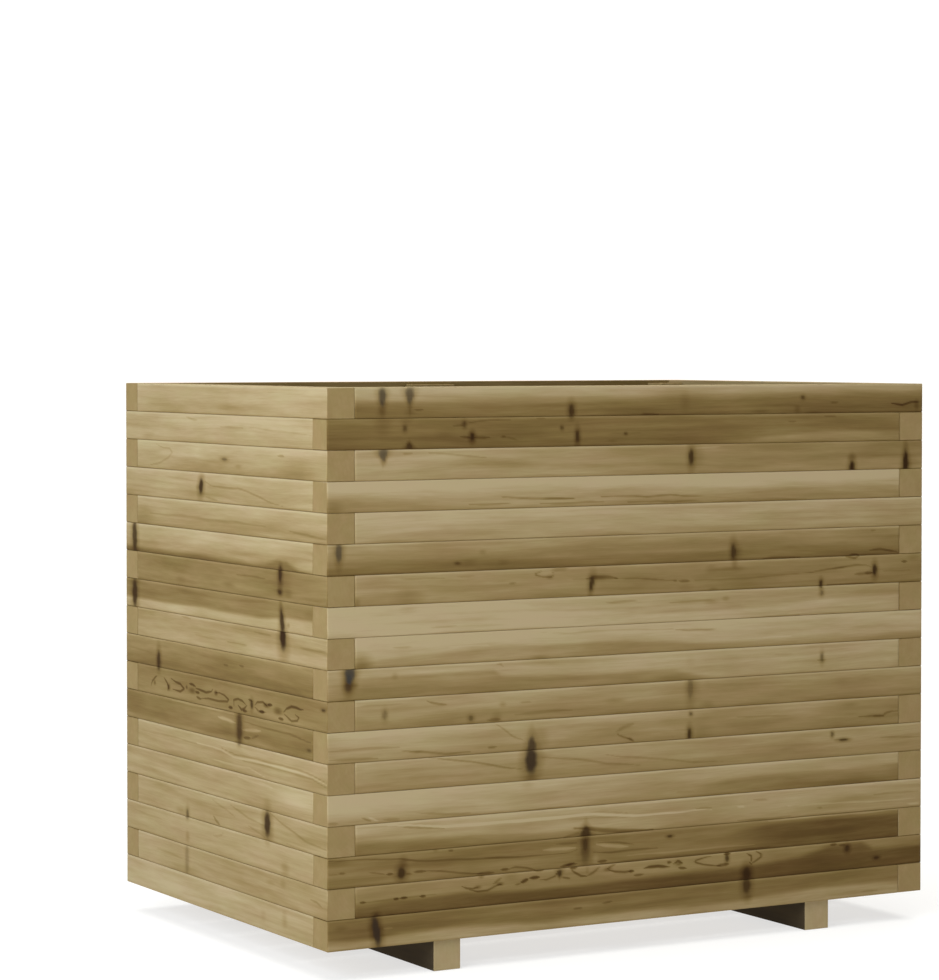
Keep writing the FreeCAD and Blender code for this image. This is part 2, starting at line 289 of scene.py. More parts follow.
# Wood of the front wall's beams, from the top course down. Tone is how light the wood is, fade how much
# lighter its top edge is than its underside, and drift its right end than its left. Places along the wall
# are from its middle, heights from the beam's underside, in millimetres.
front_looks = {
    18: Look(0.713, 0.09, -0.08, (
        Border(8, 0.85, ((-540, 21), (-300, 22), (-100, 21), (0, 23), (60, 26), (200, 27), (540, 29))),
        Knot(-374, 40, 12, 6, 0.75, 0.3, 0, 0.45), Knot(-336, 40, 14, 6.5, 0.7, 0.6, 0, 0.4),
        Patch(-375, 7, 6, 5, 0.3), Patch(-336, 8, 6, 5, 0.3), line(1.3, 0.5, -329, -317, 10.5),
        Knot(-104, 17, -3, 4.8, 0.8), line(1.3, 0.5, -1, 27, 1), Patch(186, 3, 11, 2, 0.4),
        Patch(270, 0, 10, 2, 0.4), Patch(67, 19, 6, 11, 0.25), Knot(253, 24, 18, 3.6, 0.55),
        Patch(244, 5.5, 4, 4, 0.35), line(1.2, 0.4, 297, 311, 14), Patch(440, 10, 3, 6, 0.5),
        Streak(1.5, 0.9, ((398, 12.5), (416, 10), (430, 13.5), (448, 14))))),
    17: Look(0.535, 0.03, 0.06, (
        Patch(-373, 31, 9, 12, 0.3), Patch(-340, 36, 7, 6, 0.25), Knot(-343, 30, 21, 3, 0.5),
        Knot(-337, 9, -1, 4.8, 0.75, -0.5), Knot(-259, 34, 25, 3, 0.55), line(1.4, 0.4, -274, -260, 28),
        Streak(1.2, 0.35, ((-256, 31), (-240, 33), (-221, 34), (-193, 34))), line(1.2, 0.4, -155, -143, 36),
        Knot(-248, 20, 8, 3.8, 0.95), Streak(1.6, 0.5, ((-264, 15), (-250, 14))),
        line(1.6, 0.5, -246, -224, 13.5), line(1.4, 0.5, -207, -200, 13),
        Streak(1.2, 0.25, ((-200, 13), (-182, 8.5))), Patch(-287, 18, 10, 3, 0.25),
        Knot(-118, 26.5, 20.5, 2.4, 0.55), Knot(-104, 44, 34, 4.2, 0.5), Knot(-95, 22, 3, 3.6, 0.8),
        Knot(-23, 17, 13, 2.2, 0.55), line(1.1, 0.2, -45, 0, 15), Patch(-43, 6, 6, 1.5, 0.25),
        line(1.2, 0.35, 230, 242, 28), line(1, 0.35, 284, 310, 34),
        Border(3, -0.5, ((40, 0), (170, 4), (198, 9), (236, 12), (278, 13), (540, 14))),
        Patch(-380, 28, 70, 10, -0.25))),
    16: Look(0.67, -0.01, -0.185, (
        Knot(-373, 42, 22, 7, 0.6, 0.6, 0, 0.8), Knot(-372, 35, 22, 3, 0.6, 0, 0, 0.4),
        line(1.2, 0.4, -347, -332, 33), Streak(1.3, 0.35, ((-310, 33), (-228, 26))),
        Patch(-245, 22, 32, 6, 0.35), Patch(-190, 17, 32, 5, 0.35), Knot(77, 34, 9, 4.8, 0.85),
        Patch(86, 24, 8, 12, 0.3), line(1, -0.35, 79, 127, 34), Knot(333, 14, -8, 5, 1.0),
        Patch(333, 17, 6, 4, 0.35), Knot(422, 28, -10, 5.5, 1.0, -0.3), Patch(432, 10, 10, 6, 0.35),
        Border(3, -0.35, ((130, 3), (198, 8), (330, 16), (540, 16))))),
    15: Look(0.745, 0.165, -0.02, (
        Streak(1.5, 0.5, ((-205, 14), (-100, 10))), line(1.4, 0.5, -150, -97, 11),
        Streak(1.2, 0.6, ((-60, 12), (-10, 11.5), (9, 10), (46, 11), (65, 9.5), (110, 10))),
        line(1.3, 0.45, -252, -193, 6.5), line(1.3, 0.45, -150, -55, 5),
        Streak(1.1, 0.55, ((-20, 3.5), (13, 3), (27, 4), (48, 3), (74, 3.5), (105, 3))),
        line(2, 0.35, 110, 260, 2), Patch(-441, 6, 10, 8, 0.4), Patch(-70, 30, 60, 8, -0.15))),
    14: Look(0.735, 0.05, -0.05, (
        Patch(-368, 2, 25, 2, 0.3), Patch(-30, 2, 22, 2, 0.3), Patch(340, 20, 18, 10, -0.15))),
    13: Look(0.608, 0.15, -0.035, (
        Knot(-434, 42, 14, 5.5, 0.7, 0.2, 0, 0.5), Knot(-269, 12, 8, 4.2, 0.5), Patch(-253, 11, 10, 4, 0.25),
        Patch(-233, 23, 4, 2.5, 0.35), Patch(-203, 9, 7, 3, 0.25), Knot(143, 24, -1, 4.8, 0.75),
        Patch(151, 12, 5, 8, 0.3), Streak(1.6, 0.6, ((362, 7), (380, 8), (398, 5), (410, 3))),
        line(1.2, 0.4, 364, 372, 33), line(1.5, 0.4, 190, 250, 1), Streak(1.8, 0.7, ((330, 1), (345, 0.5))))),
    12: Look(0.642, 0.035, -0.11, (
        Patch(-410, 5, 4, 4, 0.5), Patch(-338, 8, 16, 9, 0.4), Patch(20, 15, 100, 14, 0.12),
        line(1.5, 0.25, -350, -287, 31), Streak(1.2, 0.2, ((-270, 31.5), (-245, 32))),
        line(1.4, 0.4, -195, -185, 20), Patch(-136, 26, 4, 2, 0.6),
        Streak(1.0, 0.65, ((-147, 34), (-157, 31), (-156, 29), (-146, 26.5), (-134, 26), (-129, 29),
                           (-132, 33))),
        Patch(-144, 30, 8, 2.5, -0.2), Patch(-127, 35, 5, 2, 0.5), Patch(-117, 36, 6, 2.5, 0.5),
        Knot(-74, 27, 4, 4, 0.85, 0.2, 1.5),
        Streak(2.6, 0.65, ((-82, 22), (-70, 23.5), (-50, 23), (-35, 21))), Patch(-62, 23, 9, 4, 0.4),
        Streak(1.2, 0.45, ((-39, 21), (0, 19), (48, 15.8))), line(1.2, 0.2, -103, -80, 22),
        Streak(1.3, 0.6, ((48, 15.5), (56, 15))), Streak(2, 0.6, ((59, 13.5), (75, 13.3))),
        Patch(68, 6, 10, 3, 0.2), Patch(109, 28, 8, 4, 0.35), Patch(126, 28, 9, 2.5, 0.3),
        Patch(145, 35, 4, 5, 0.5), Patch(146, 28, 11, 3, 0.4), Patch(112, 2, 6, 2, 0.35),
        Streak(1.3, 0.3, ((83, 13.5), (150, 14.5), (210, 15.6), (262, 18))),
        Streak(1.4, 0.5, ((262, 18), (290, 20.4), (310, 22), (330, 24.8), (342, 26), (356, 25), (364, 23))),
        Streak(1.6, 0.35, ((300, 21.2), (325, 24))),
        Streak(1.7, 0.8, ((323, 37), (331, 35.5), (338, 34), (345, 37))), line(1.8, 0.8, 416, 424, 28),
        Patch(435, 33, 8, 4, 0.3), Knot(371, 27, 9, 4.2, 0.95), Streak(2.2, 0.5, ((338, 14), (367, 14.5))),
        Streak(2.6, 0.5, ((355, 14), (367, 14.5))), line(1.2, 0.25, 386, 430, 16), Knot(283, 9, -3, 3, 0.85),
        line(1, 0.6, 292, 370, 0.7))),
    11: Look(0.735, 0.02, -0.16, (
        Border(4, -0.4, ((-260, 23), (-150, 20), (0, 16), (93, 11), (200, 15), (300, 22), (510, 24))),
        Patch(-338, 33, 9, 5, 0.25), line(1.5, 0.2, -305, -270, 8.5), line(1.8, 0.35, -52, -5, 29),
        Streak(1.6, 0.35, ((44, 25.5), (114, 25))), Patch(109, 24, 9, 3, 0.35), Patch(131, 27, 4.5, 2.5, 0.4),
        Knot(283, 42, 34, 3, 0.7), Knot(284, 33, 24, 3.4, 0.45), line(1.2, 0.4, 170, 250, 0.7))),
    10: Look(0.775, 0.06, -0.045, (
        Border(3.5, 0.5, ((-480, 8), (-400, 8), (-300, 14), (-193, 20), (-100, 17), (0, 15), (50, 12),
                          (74, 10), (540, 10))),
        Patch(-404, 6, 12, 10, 0.9), Patch(-404, 32, 9, 6, -0.25),
        Streak(1.1, 0.4, ((-359, 23.5), (-333, 23.2))), Streak(1.1, -0.2, ((-287, 21), (-226, 20.5))),
        Patch(-151, 2, 11, 2.5, 0.3),
        Streak(1.2, 0.3, ((-150, 33.5), (-99, 30.5), (-50, 31), (0, 30.7), (50, 29))),
        Streak(1.3, 0.5, ((50, 29), (74, 26.5), (104, 25.4), (121, 25.4))), line(1.1, -0.2, 190, 234, 11.6))),
    9: Look(0.722, 0.03, 0.015, (
        Border(4, 0.45, ((-480, 20), (-390, 26), (-217, 27), (-205, 20), (-150, 15), (50, 14), (90, 5),
                         (160, -4))),
        Knot(-419, 46, 18, 8.5, 0.8, 0.2, 1, 0.9), Knot(-420, 36, 18, 5, 0.9, 0.2, 0, 0.9),
        Knot(-422, 24, 9, 5, 0.4, 0, 0, 0.3), Patch(-421, 17, 7, 4, 0.45), Patch(-411, 18, 3, 3, 0.4),
        Patch(-420, 8, 8, 8, 0.25), Patch(-357, 27, 3.5, 3.5, 0.35),
        Streak(1.3, 0.35, ((-213, 34), (-207, 34), (-204, 31))), Patch(57, 4, 28, 5, 0.3),
        Patch(76, 25, 6, 6, 0.15), line(1.2, 0.15, 210, 236, 26), Knot(285, 27, 11, 3, 0.5),
        line(1, 0.4, 277, 293, 15.6), Patch(396, 9, 8, 4, -0.15), Patch(-20, 26, 110, 9, -0.25))),
    8: Look(0.67, 0.08, -0.045, (
        Streak(1.2, 0.25, ((-410, 31), (-345, 30.5))),
        Streak(1.4, 0.6, ((-312, 32), (-304, 29.5), (-297, 28), (-282, 26))), Knot(-371, 25, 11, 3.6, 0.4),
        Knot(-250, 11, 3, 4.2, 0.5), Patch(-204, 22, 4, 3, 0.4), line(1.4, 0.3, -180, -162, 23.5),
        Patch(-213, 5, 6, 6, 0.4), line(2.2, 0.5, -226, -207, 3),
        Streak(2, 0.3, ((-186, 8), (-150, 9.5), (-103, 9))), Patch(-38, 18, 13, 3, 0.3),
        Knot(76, 46, 10, 5, 0.35, 0, 0, 0.1), Patch(80, 26, 10, 18, 0.3), Patch(93, 31, 6, 5, -0.15),
        Patch(103, 5, 9, 4, 0.35), Patch(318, 24, 14, 4, 0.2))),
    7: Look(0.677, 0.09, -0.13, (
        Streak(1.6, 0.3, ((-450, 16.5), (-350, 15.5))), Streak(1.8, 0.4, ((-450, 6), (-380, 3))),
        Streak(1.4, 0.5, ((-350, 11), (-320, 8), (-287, 4), (-250, 3))), Patch(-326, 8, 8, 2, 0.3),
        line(1.6, 0.55, -226, -214, 7), Streak(1.1, 0.35, ((-217, 38), (-203, 29.5), (-189, 19), (-172, 13))),
        Patch(-186, 29, 14, 8, -0.25), Knot(-162, 20, -10, 7.5, 0.8, -0.3, 0, 0.2),
        Patch(-149, 14, 9, 10, 0.4), Streak(2.6, 0.35, ((-36, 16), (-26, 21), (-10, 25))),
        Streak(1.4, 0.6, ((-35, 14), (-33, 11), (-24, 8), (-15, 5), (-10, 2))),
        Streak(2, 0.5, ((-19, 6), (-11, 3))), Knot(75, 15, -3, 3.8, 0.85), Knot(77, 35, 29, 2.6, 0.55),
        Patch(92, 9, 14, 9, 0.3), Streak(1.3, 0.3, ((149, 23), (200, 22.5), (234, 21))),
        Patch(330, 30, 13, 2.5, 0.25),
        Streak(1.6, 0.6, ((346, 13), (370, 12.4), (386, 12), (390, 15), (400, 17), (412, 16.5))),
        Streak(1.6, 0.35, ((368, 12.4), (386, 12))), Patch(-380, 30, 60, 8, -0.1))),
    6: Look(0.68, 0.065, -0.01, (
        Patch(-400, 22, 14, 14, -0.12), Knot(-163, 46, 5, 10.5, 0.93, 0, 0, 0.2), Patch(-163, 3, 6, 4, 0.4),
        Patch(-146, 29, 11, 3.5, 0.4),
        Streak(1.3, 0.5, ((-310, 38), (-287, 33.8), (-249, 29), (-217, 22.8), (-193, 18), (-172, 14.6))),
        Streak(1.5, 0.35, ((-150, 28.6), (-100, 23.5), (-50, 13.5), (0, 9))),
        Streak(1.3, 0.3, ((-52, 26), (-26, 20.5), (0, 18), (51, 12), (83, 7.6), (128, 5))),
        Knot(302, 34, 26, 2.6, 0.65), Knot(320, 23.8, 19.4, 8.4, 0.75), line(1, 0.35, 305, 335, 21.5),
        Streak(1.2, 0.35, ((380, 22), (448, 18))), Patch(235, 14, 16, 2, 0.15))),
    5: Look(0.713, 0.085, -0.095, (
        Border(4, 0.4, ((40, 4), (107, 14), (150, 20), (350, 22), (500, 22))),
        Streak(1.8, 0.35, ((-450, 4.5), (-436, 4))), Streak(1.3, 0.45, ((-403, 8.5), (-389, 3.5))),
        Streak(1.3, -0.4, ((-394, 8.5), (-380, 2))), Streak(1.8, 0.3, ((-372, 4), (-350, 3.5))),
        Streak(1.6, 0.3, ((-326, 8.5), (-287, 5), (-250, 3.5))), line(1.2, 0.4, -180, -94, 1.3),
        Patch(-168, 34, 8, 6, 0.3), Patch(380, 12, 25, 10, -0.15), Patch(-340, 26, 100, 13, -0.3),
        Streak(1.4, 0.2, ((53, 8), (83, 7))))),
    4: Look(0.715, 0.07, -0.025, (
        Border(5, 0.65, ((-500, 16), (-250, 15), (-150, 8), (-100, 8), (-60, 3), (60, -8))),
        Streak(1.6, -0.75, ((-382, 36), (-350, 33), (-319, 30.7), (-287, 27.7), (-250, 26.6), (-217, 26),
                            (-150, 26.6), (-99, 27), (-70, 26.6), (-50, 24.3), (-26, 22), (0, 20.7), (51, 20),
                            (109, 20))),
        Streak(1.2, 0.45, ((-350, 31.2), (-319, 28), (-287, 25.5))),
        Streak(1, 0.25, ((-127, 23), (-70, 23), (-20, 19))), Streak(1, 0.25, ((-75, 29.5), (-20, 25))),
        line(1.2, -0.35, 149, 163, 20), line(1.2, 0.4, 86, 109, 23),
        Streak(1.2, 0.3, ((175, 27.7), (200, 27.5))), Streak(1.1, -0.35, ((-24, 37), (51, 36.7))),
        Knot(-82, 15, -8, 9, 0.85, -0.5),
        Streak(3, 0.9, ((-100, 11), (-78, 9.5), (-57, 5), (-33, 2), (20, 0.5))),
        Streak(2, 0.4, ((-92, 4), (-115, 0))), Patch(-120, 17, 28, 6, -0.2),
        Streak(1.2, -0.3, ((230, 16), (310, 14), (440, 11))), line(1.2, 0.35, 278, 286, 10.4),
        line(1.3, 0.3, 370, 446, 21), line(1.2, -0.3, 426, 448, 4), line(1.4, 0.35, 150, 236, 2))),
    3: Look(0.57, 0.0, 0.0, (
        Border(3, 0.7, ((110, 27), (215, 31), (510, 31))), Patch(172, 9, 28, 5, -0.2),
        Patch(-440, 33, 14, 4, 0.35),
        Streak(1.4, 0.45, ((-450, 35.5), (-403, 33), (-375, 31), (-350, 30), (-326, 26), (-287, 24),
                           (-250, 21.5), (-217, 20.3), (-147, 19), (-103, 18.5), (-95, 21))),
        Streak(1.3, 0.2, ((-230, 21), (-180, 19.6))), Patch(-300, 37, 3, 2, 0.4),
        line(1.5, 0.6, -282, -275, 35.5), line(1.4, 0.6, -434, -426, 18.5), line(1, 0.3, -450, -434, 18.5),
        Streak(1.2, 0.4, ((-394, 17), (-371, 12.5))), line(1.7, 0.8, -368, -360, 12.5),
        Knot(-348, 21, 4, 6.6, 0.85), Patch(-345, 27, 5, 6, 0.35), line(1.8, 0.7, -330, -315, 12.8),
        Streak(1.3, 0.4, ((-342, 12), (-334, 11))),
        Streak(1.3, 0.5, ((-315, 12), (-287, 9.3), (-249, 4), (-231, 2.8))), line(1.7, 0.7, -242, -217, 2.3),
        line(1.8, 0.8, -207, -195, 4.6), Streak(1.4, 0.6, ((-195, 5), (-186, 6.5), (-170, 4), (-156, 0.5))),
        Streak(2, 0.8, ((-119, 2.5), (-100, 5))), Streak(2, 0.6, ((-112, 3.5), (-95, 4))),
        line(1.8, 0.8, -64, -50, 4), Knot(-83, 50, -4, 8, 0.32), Knot(-83, 38, 16, 4.5, 0.7),
        Streak(2.6, -0.5, ((-145, 24.5), (-120, 25), (-98, 25))),
        Streak(2.8, -0.5, ((-66, 26), (-45, 23.5), (-19, 20))), Patch(-68, 8, 4, 5, -0.35),
        line(1.6, 0.35, -126, -94, 31), Streak(1.3, 0.4, ((-64, 28.5), (-33, 26), (-10, 21.5))),
        Streak(1.4, 0.45, ((-71, 17), (-45, 14.5), (0, 14.3), (27, 14))), Knot(45, 30, 26, 4.8, 0.7),
        Streak(1.4, -0.3, ((-20, 8), (80, 8), (177, 7))), line(2, 0.35, -60, 200, 1.5),
        Streak(1.3, -0.4, ((200, 36.5), (412, 36.3))))),
    2: Look(0.603, 0.06, -0.055, (
        Border(5, 0.85, ((-500, 20), (-400, 16), (-260, 18), (-150, 14), (0, 15), (150, 17), (250, 23),
                         (300, 34), (350, 34), (370, 25), (540, 24))),
        line(1.7, 0.87, -406, -398, 18.4), line(1.7, 1.01, -359, -352, 19.5), line(1.7, 1.01, -349, -340, 20),
        line(1.7, 1.01, -322, -314, 19.3), Streak(1.2, 0.36, ((-402, 19), (-300, 20))),
        Knot(-383, 5, -4, 4.8, 0.5),
        Streak(1.4, 0.87, ((-262, 26.5), (-256, 23.8), (-247, 22.4), (-240, 24))),
        Patch(-240, 24, 4, 1.8, 0.9),
        Streak(1.4, 0.8, ((-252, 22), (-240, 19), (-226, 19.5), (-217, 23), (-208, 25.5), (-205, 24))),
        Patch(-208, 25.5, 4, 1.8, 0.9), Patch(-235, 37, 3, 2, 0.75),
        Streak(1.7, 0.58, ((-217, 26.5), (-206, 33.5))), Patch(-193, 34, 10, 4, 0.4),
        Streak(1.2, 0.58, ((-186, 22.5), (-178, 24))), Streak(2.3, 1.2, ((-178, 24.5), (-167, 28.5))),
        line(2.3, 1.2, -164, -151, 29), Streak(1.3, 0.72, ((-149, 26.5), (-140, 26), (-128, 29), (-123, 35))),
        line(1.9, 1.01, -158, -145, 37.5), Knot(-121, 37, 26, 3.8, 0.8, 0.5),
        Streak(1.3, 0.72, ((-118, 26.5), (-105, 24))), line(1.9, 1.16, -106, -95, 37),
        Streak(1.6, 0.87, ((-103, 36), (-103, 33.5), (-96, 29), (-89, 25.5), (-80, 25))),
        Streak(1.6, 0.65, ((-80, 25), (-71, 28), (-62, 34))), Patch(-80, 32, 2, 4, 0.3),
        Patch(-49, 31, 5, 2, 0.9), Streak(1.3, 0.72, ((-50, 31), (-44, 34), (-38, 36))),
        Streak(1.7, 0.94, ((-47, 30), (-38, 27.7), (-24, 26), (-10, 26))), line(2.2, 0.87, -17, -10, 26),
        line(1.7, 0.72, -10, 4, 20.5), Streak(2.2, 1.2, ((5, 27), (13, 28.5), (27, 29), (44, 26.7))),
        line(1.9, 1.01, 41, 47, 31.7), Streak(1.7, 1.01, ((51, 30), (58, 33), (65, 29))),
        Patch(59, 29, 4, 1.8, 0.9), Streak(1.8, 1.01, ((58, 24), (70, 22.5))),
        Streak(1.3, 0.87, ((109, 35.5), (97, 34), (86, 31.7), (84, 30), (86, 28.5), (97, 25.4), (111, 23),
                           (125, 21.4))),
        Streak(2.2, 0.87, ((118, 22), (137, 22.4))), Knot(134, 36, 25, 3.1, 0.8),
        line(1.9, 1.16, 129, 139, 36.5), Streak(1.4, 1.01, ((165, 34.7), (172, 31), (173, 26.5), (170, 22))),
        Streak(1.4, 0.87, ((179, 36), (188, 31), (188, 27.7), (181, 23.8), (173, 20.7), (171, 18.4))),
        Knot(165, 18, -4, 6.6, 0.95), line(1.8, 0.72, 299, 310, 35), line(1.7, 0.51, 314, 324, 34),
        Knot(327, 34, 23.5, 4.2, 0.75), Knot(375, 14.2, 9.8, 4.8, 0.75))),
    1: Look(0.555, -0.02, 0.02, (
        Border(4, -0.85, ((-540, 14), (-375, 11), (-350, 14), (-287, 15), (-150, 12), (0, 11), (150, 12),
                          (200, 16), (510, 17))),
        Knot(-383, 44, -3, 6.2, 0.92, 0.0, -4.0, 0.25), Patch(-310, 21, 75, 8, 0.3),
        line(1.2, -0.35, -372, -361, 22.6), Patch(-432, 28, 7, 3, 0.3), line(1.4, 0.5, -101, -87, 23.5),
        Streak(1.5, 0.5, ((-57, 26), (-43, 27.5))), Knot(165, 44, 18, 7.2, 0.75), Patch(167, 14, 5, 5, 0.3),
        line(1.3, 0.3, 350, 376, 7))),
}

# Wood of the left wall's beams, told in the same way. Places along it run from the middle to the back.
left_looks = {
    18: Look(0.735, 0.035, -0.045, (
        Patch(170, 10, 60, 3, 0.2), Patch(-26, 10, 35, 4, 0.2), line(1.2, 0.12, -140, -300, 30))),
    17: Look(0.745, 0.05, -0.02, (
        Streak(1.6, 0.3, ((104, 34), (84, 31), (68, 30))), line(1.3, 0.3, 0, -68, 22),
        Streak(1.2, 0.2, ((-80, 24), (-160, 21), (-260, 17))), Patch(224, 6, 14, 4, 0.2))),
    16: Look(0.72, 0.09, 0.0, (
        Streak(1.4, 0.3, ((200, 34), (176, 29), (156, 28), (148, 23), (160, 16), (188, 9), (224, 4))),
        Knot(-13, 21.4, 16.6, 9.6, 0.5), Patch(-54, 11, 8, 2, 0.35), line(1.5, 0.5, -168, -185, 28),
        Patch(-215, 10, 40, 9, 0.5), Patch(70, 28, 15, 7, -0.1))),
    15: Look(0.717, 0.055, 0.0, (
        Knot(58, 32, 8, 7.5, 0.95, 0.0, -1.5), Patch(69, 18, 4, 3, 0.3),
        Streak(1.2, 0.2, ((180, 28), (68, 27))),
        Streak(1.3, 0.4, ((46, 26), (28, 22), (0, 21), (-52, 21), (-84, 17), (-112, 13), (-140, 8),
                          (-180, 4))),
        Streak(1.3, 0.3, ((44, 7), (4, 3))))),
    14: Look(0.708, 0.1, -0.045, (
        Patch(240, 12, 22, 10, 0.3), Streak(2, 0.3, ((220, 16), (100, 16), (-20, 15), (-132, 15))),
        Streak(1.6, 0.4, ((-200, 11), (-300, 7))))),
    13: Look(0.715, 0.06, -0.02, (
        Border(4, 0.9, ((390, 7), (150, 6), (0, 6), (-130, 7), (-165, 12), (-190, 11), (-225, 2),
                        (-330, -6))),
        Knot(271, 48, -8, 9, 0.85, 0.0, 1.5), Knot(-174, 7, -6, 4.8, 0.7))),
    12: Look(0.587, -0.01, 0.0, (
        Knot(-173, 50, 20, 6, 0.9), Knot(-172, 14, 7, 6, 0.8), Patch(-180, 22, 18, 16, 0.25),
        Patch(-24, 11, 15, 2.5, 0.45), Patch(-196, 10, 8, 4, 0.3), Patch(124, 8, 12, 4, 0.25),
        line(1.3, 0.35, -48, -132, 25))),
    11: Look(0.587, 0.0, 0.02, (
        Border(3, -0.85, ((390, 13), (0, 13), (-140, 14), (-190, 17), (-262, 18), (-360, 18))),
        Knot(271, 42, -4, 9.6, 0.9), Knot(-178, 32, -6, 7.2, 0.9, -0.4, 3.0), Patch(-196, 9, 3, 2.5, 0.6))),
    10: Look(0.702, -0.035, 0.01, (
        Knot(-180, 56, 12, 10, 1.0, -0.2, 2.0), Streak(1.2, 0.35, ((-100, 32), (-152, 31))),
        Streak(1.8, 0.35, ((-228, 22), (-300, 21))), line(1.2, 0.4, -20, -84, 13), line(1.2, 0.2, 76, 12, 14),
        Streak(1.2, 0.35, ((120, 35), (92, 34))))),
    9: Look(0.58, 0.1, 0.03, (
        Knot(193, 24, -6, 6, 0.8), line(1.5, 0.5, -56, -70, 23), line(1.3, 0.4, -8, -24, 20),
        Streak(1.2, 0.2, ((300, 20), (215, 18))))),
    8: Look(0.592, -0.04, 0.0, (
        Knot(193, 44, 33, 5.4, 0.6), Streak(1.6, 0.87, ((218, 12), (214, 18), (204, 24), (198, 26))),
        Patch(206, 16, 3, 2.5, 0.9), Streak(1.7, 0.87, ((176, 26), (166, 20), (161, 14), (164, 10))),
        Patch(161, 14, 4, 3.5, 1.2),
        Streak(1.7, 0.94, ((154, 26), (140, 23), (124, 22), (112, 17), (124, 12), (148, 12))),
        Patch(104, 19, 2.5, 2, 1), Streak(1.8, 1.01, ((96, 24), (86, 24), (76, 22))),
        Patch(87, 16, 9, 3, 0.9), line(1.9, 1.01, 76, 64, 15), Streak(1.8, 0.87, ((74, 10), (60, 8))),
        Streak(1.7, 1.01, ((76, 20), (60, 19), (44, 18), (28, 21), (24, 24))),
        Streak(1.6, 0.87, ((60, 8), (36, 10), (4, 10), (-20, 12), (-24, 15), (-12, 19), (4, 21), (14, 20))),
        Patch(14, 20, 4, 2.5, 1.2), line(2.0, 1.16, -24, -36, 5),
        Streak(1.6, 0.87, ((-40, 9), (-39, 16), (-52, 19), (-64, 18), (-74, 14))),
        Streak(1.8, 1.01, ((-52, 11), (-62, 6), (-70, 8), (-78, 13))),
        Streak(1.8, 1.01, ((-66, 4.5), (-78, 5))), Knot(-92, 21, 9, 4.2, 0.75),
        Streak(1.6, 0.87, ((-82, 21), (-94, 20))),
        Streak(1.6, 0.87, ((-100, 15), (-108, 20), (-124, 22), (-136, 18))), Patch(-134, 18, 7, 2.2, 1.2),
        line(2.0, 1.16, -138, -150, 20), Streak(1.6, 0.72, ((-100, 13), (-112, 9), (-132, 10))),
        line(2.2, 1.16, -114, -128, 9), Patch(-166, 14, 9, 4, 0.9),
        Streak(2.0, 1.16, ((-168, 5.5), (-182, 5))),
        Streak(1.8, 1.01, ((-182, 14), (-190, 19), (-204, 23), (-216, 23), (-228, 22), (-236, 23))),
        Streak(1.6, 0.87, ((-184, 12), (-204, 6), (-220, 8), (-224, 12), (-214, 15))),
        Knot(-290, 29, 25, 6, 0.7))),
    7: Look(0.57, 0.0, 0.0, (
        Border(3, -0.5, ((390, 7), (100, 5), (0, 3), (-40, 0), (-130, -6))), Patch(275, 22, 30, 12, 0.3),
        Knot(-56, 44, -4, 8.4, 0.6), Knot(-55, 36, 20, 6, 0.5), Knot(-56, 16, 4, 6, 0.5),
        line(1.3, -0.35, 180, -40, 36), Streak(2.4, -0.55, ((8, 28), (-20, 27), (-44, 25))),
        Streak(2.4, -0.55, ((-66, 18), (-90, 20), (-118, 21.5))),
        Streak(1.5, 0.45, ((-68, 28), (-120, 28), (-200, 26), (-258, 22))),
        Streak(2, 0.8, ((-68, 8), (-88, 9.5))), Streak(1.5, 0.4, ((-88, 9.5), (-110, 16))),
        Patch(-25, 12, 25, 5, 0.3), Knot(-252, 14, 10, 6, 0.5))),
    6: Look(0.705, 0.03, 0.0, (
        Knot(-54, 44, 34, 6, 0.45), Streak(1.2, 0.2, ((250, 24), (180, 25), (72, 24))),
        Streak(1.6, -0.4, ((72, 25), (-4, 24), (-40, 19), (-100, 20), (-180, 21), (-260, 18), (-300, 13))),
        Streak(1.2, 0.4, ((-4, 27), (-44, 22.5), (-100, 23), (-180, 24), (-260, 21), (-300, 16))),
        Streak(1.2, 0.35, ((-60, 16.5), (-180, 17.5), (-260, 15), (-300, 10))),
        Streak(1.4, -0.3, ((28, 9), (-84, 9), (-130, 3))))),
    5: Look(0.715, 0.0, 0.0, (
        Patch(-215, 22, 45, 12, -0.35), Streak(2.5, -0.2, ((-52, 34), (-150, 30))),
        Patch(-136, 5, 9, 9, 0.35))),
    4: Look(0.707, 0.01, 0.0, (
        Knot(-136, 40, 3, 10.2, 0.92),
        Streak(1.5, 0.35, ((-144, 36), (-172, 28), (-200, 22), (-240, 14), (-300, 10))),
        Streak(1.4, 0.2, ((28, 32), (-20, 24), (-44, 18))),
        Streak(1.5, 0.3, ((-28, 33), (-80, 22), (-128, 17))), Streak(1.4, 0.25, ((-80, 12), (-128, 4))),
        Streak(2, 0.6, ((22, 11), (14, 6), (2, 2))), Knot(102, 12, -6, 4.8, 0.55), Patch(122, 6, 12, 4, 0.25),
        Streak(1.3, 0.2, ((-190, 4), (-260, 1))))),
    3: Look(0.715, 0.015, 0.0, (
        Knot(103, 44, 34, 4.8, 0.45), Patch(102, 12, 5, 6, 0.4),
        Streak(1.5, 0.25, ((22, 23), (8, 25), (-4, 28), (-8, 32))), Patch(-186, 10, 9, 7, 0.4),
        Patch(-136, 36, 6, 4, 0.35), Streak(1.3, 0.15, ((280, 27), (180, 24))))),
    2: Look(0.7, 0.0, 0.06, (
        Knot(104, 44, -6, 6, 0.25), Patch(-144, 24, 9, 2.5, 0.25), Patch(-180, 28, 6, 4, 0.25),
        Streak(1.5, 0.4, ((-256, 20), (-272, 19), (-286, 15))), Streak(1.3, 0.2, ((200, 22), (120, 18))))),
    1: Look(0.75, -0.02, 0.09, (
        Patch(-184, 22, 6, 9, 0.35), Patch(-124, 18, 6, 6, 0.2), Patch(-230, 20, 25, 8, -0.1))),
}


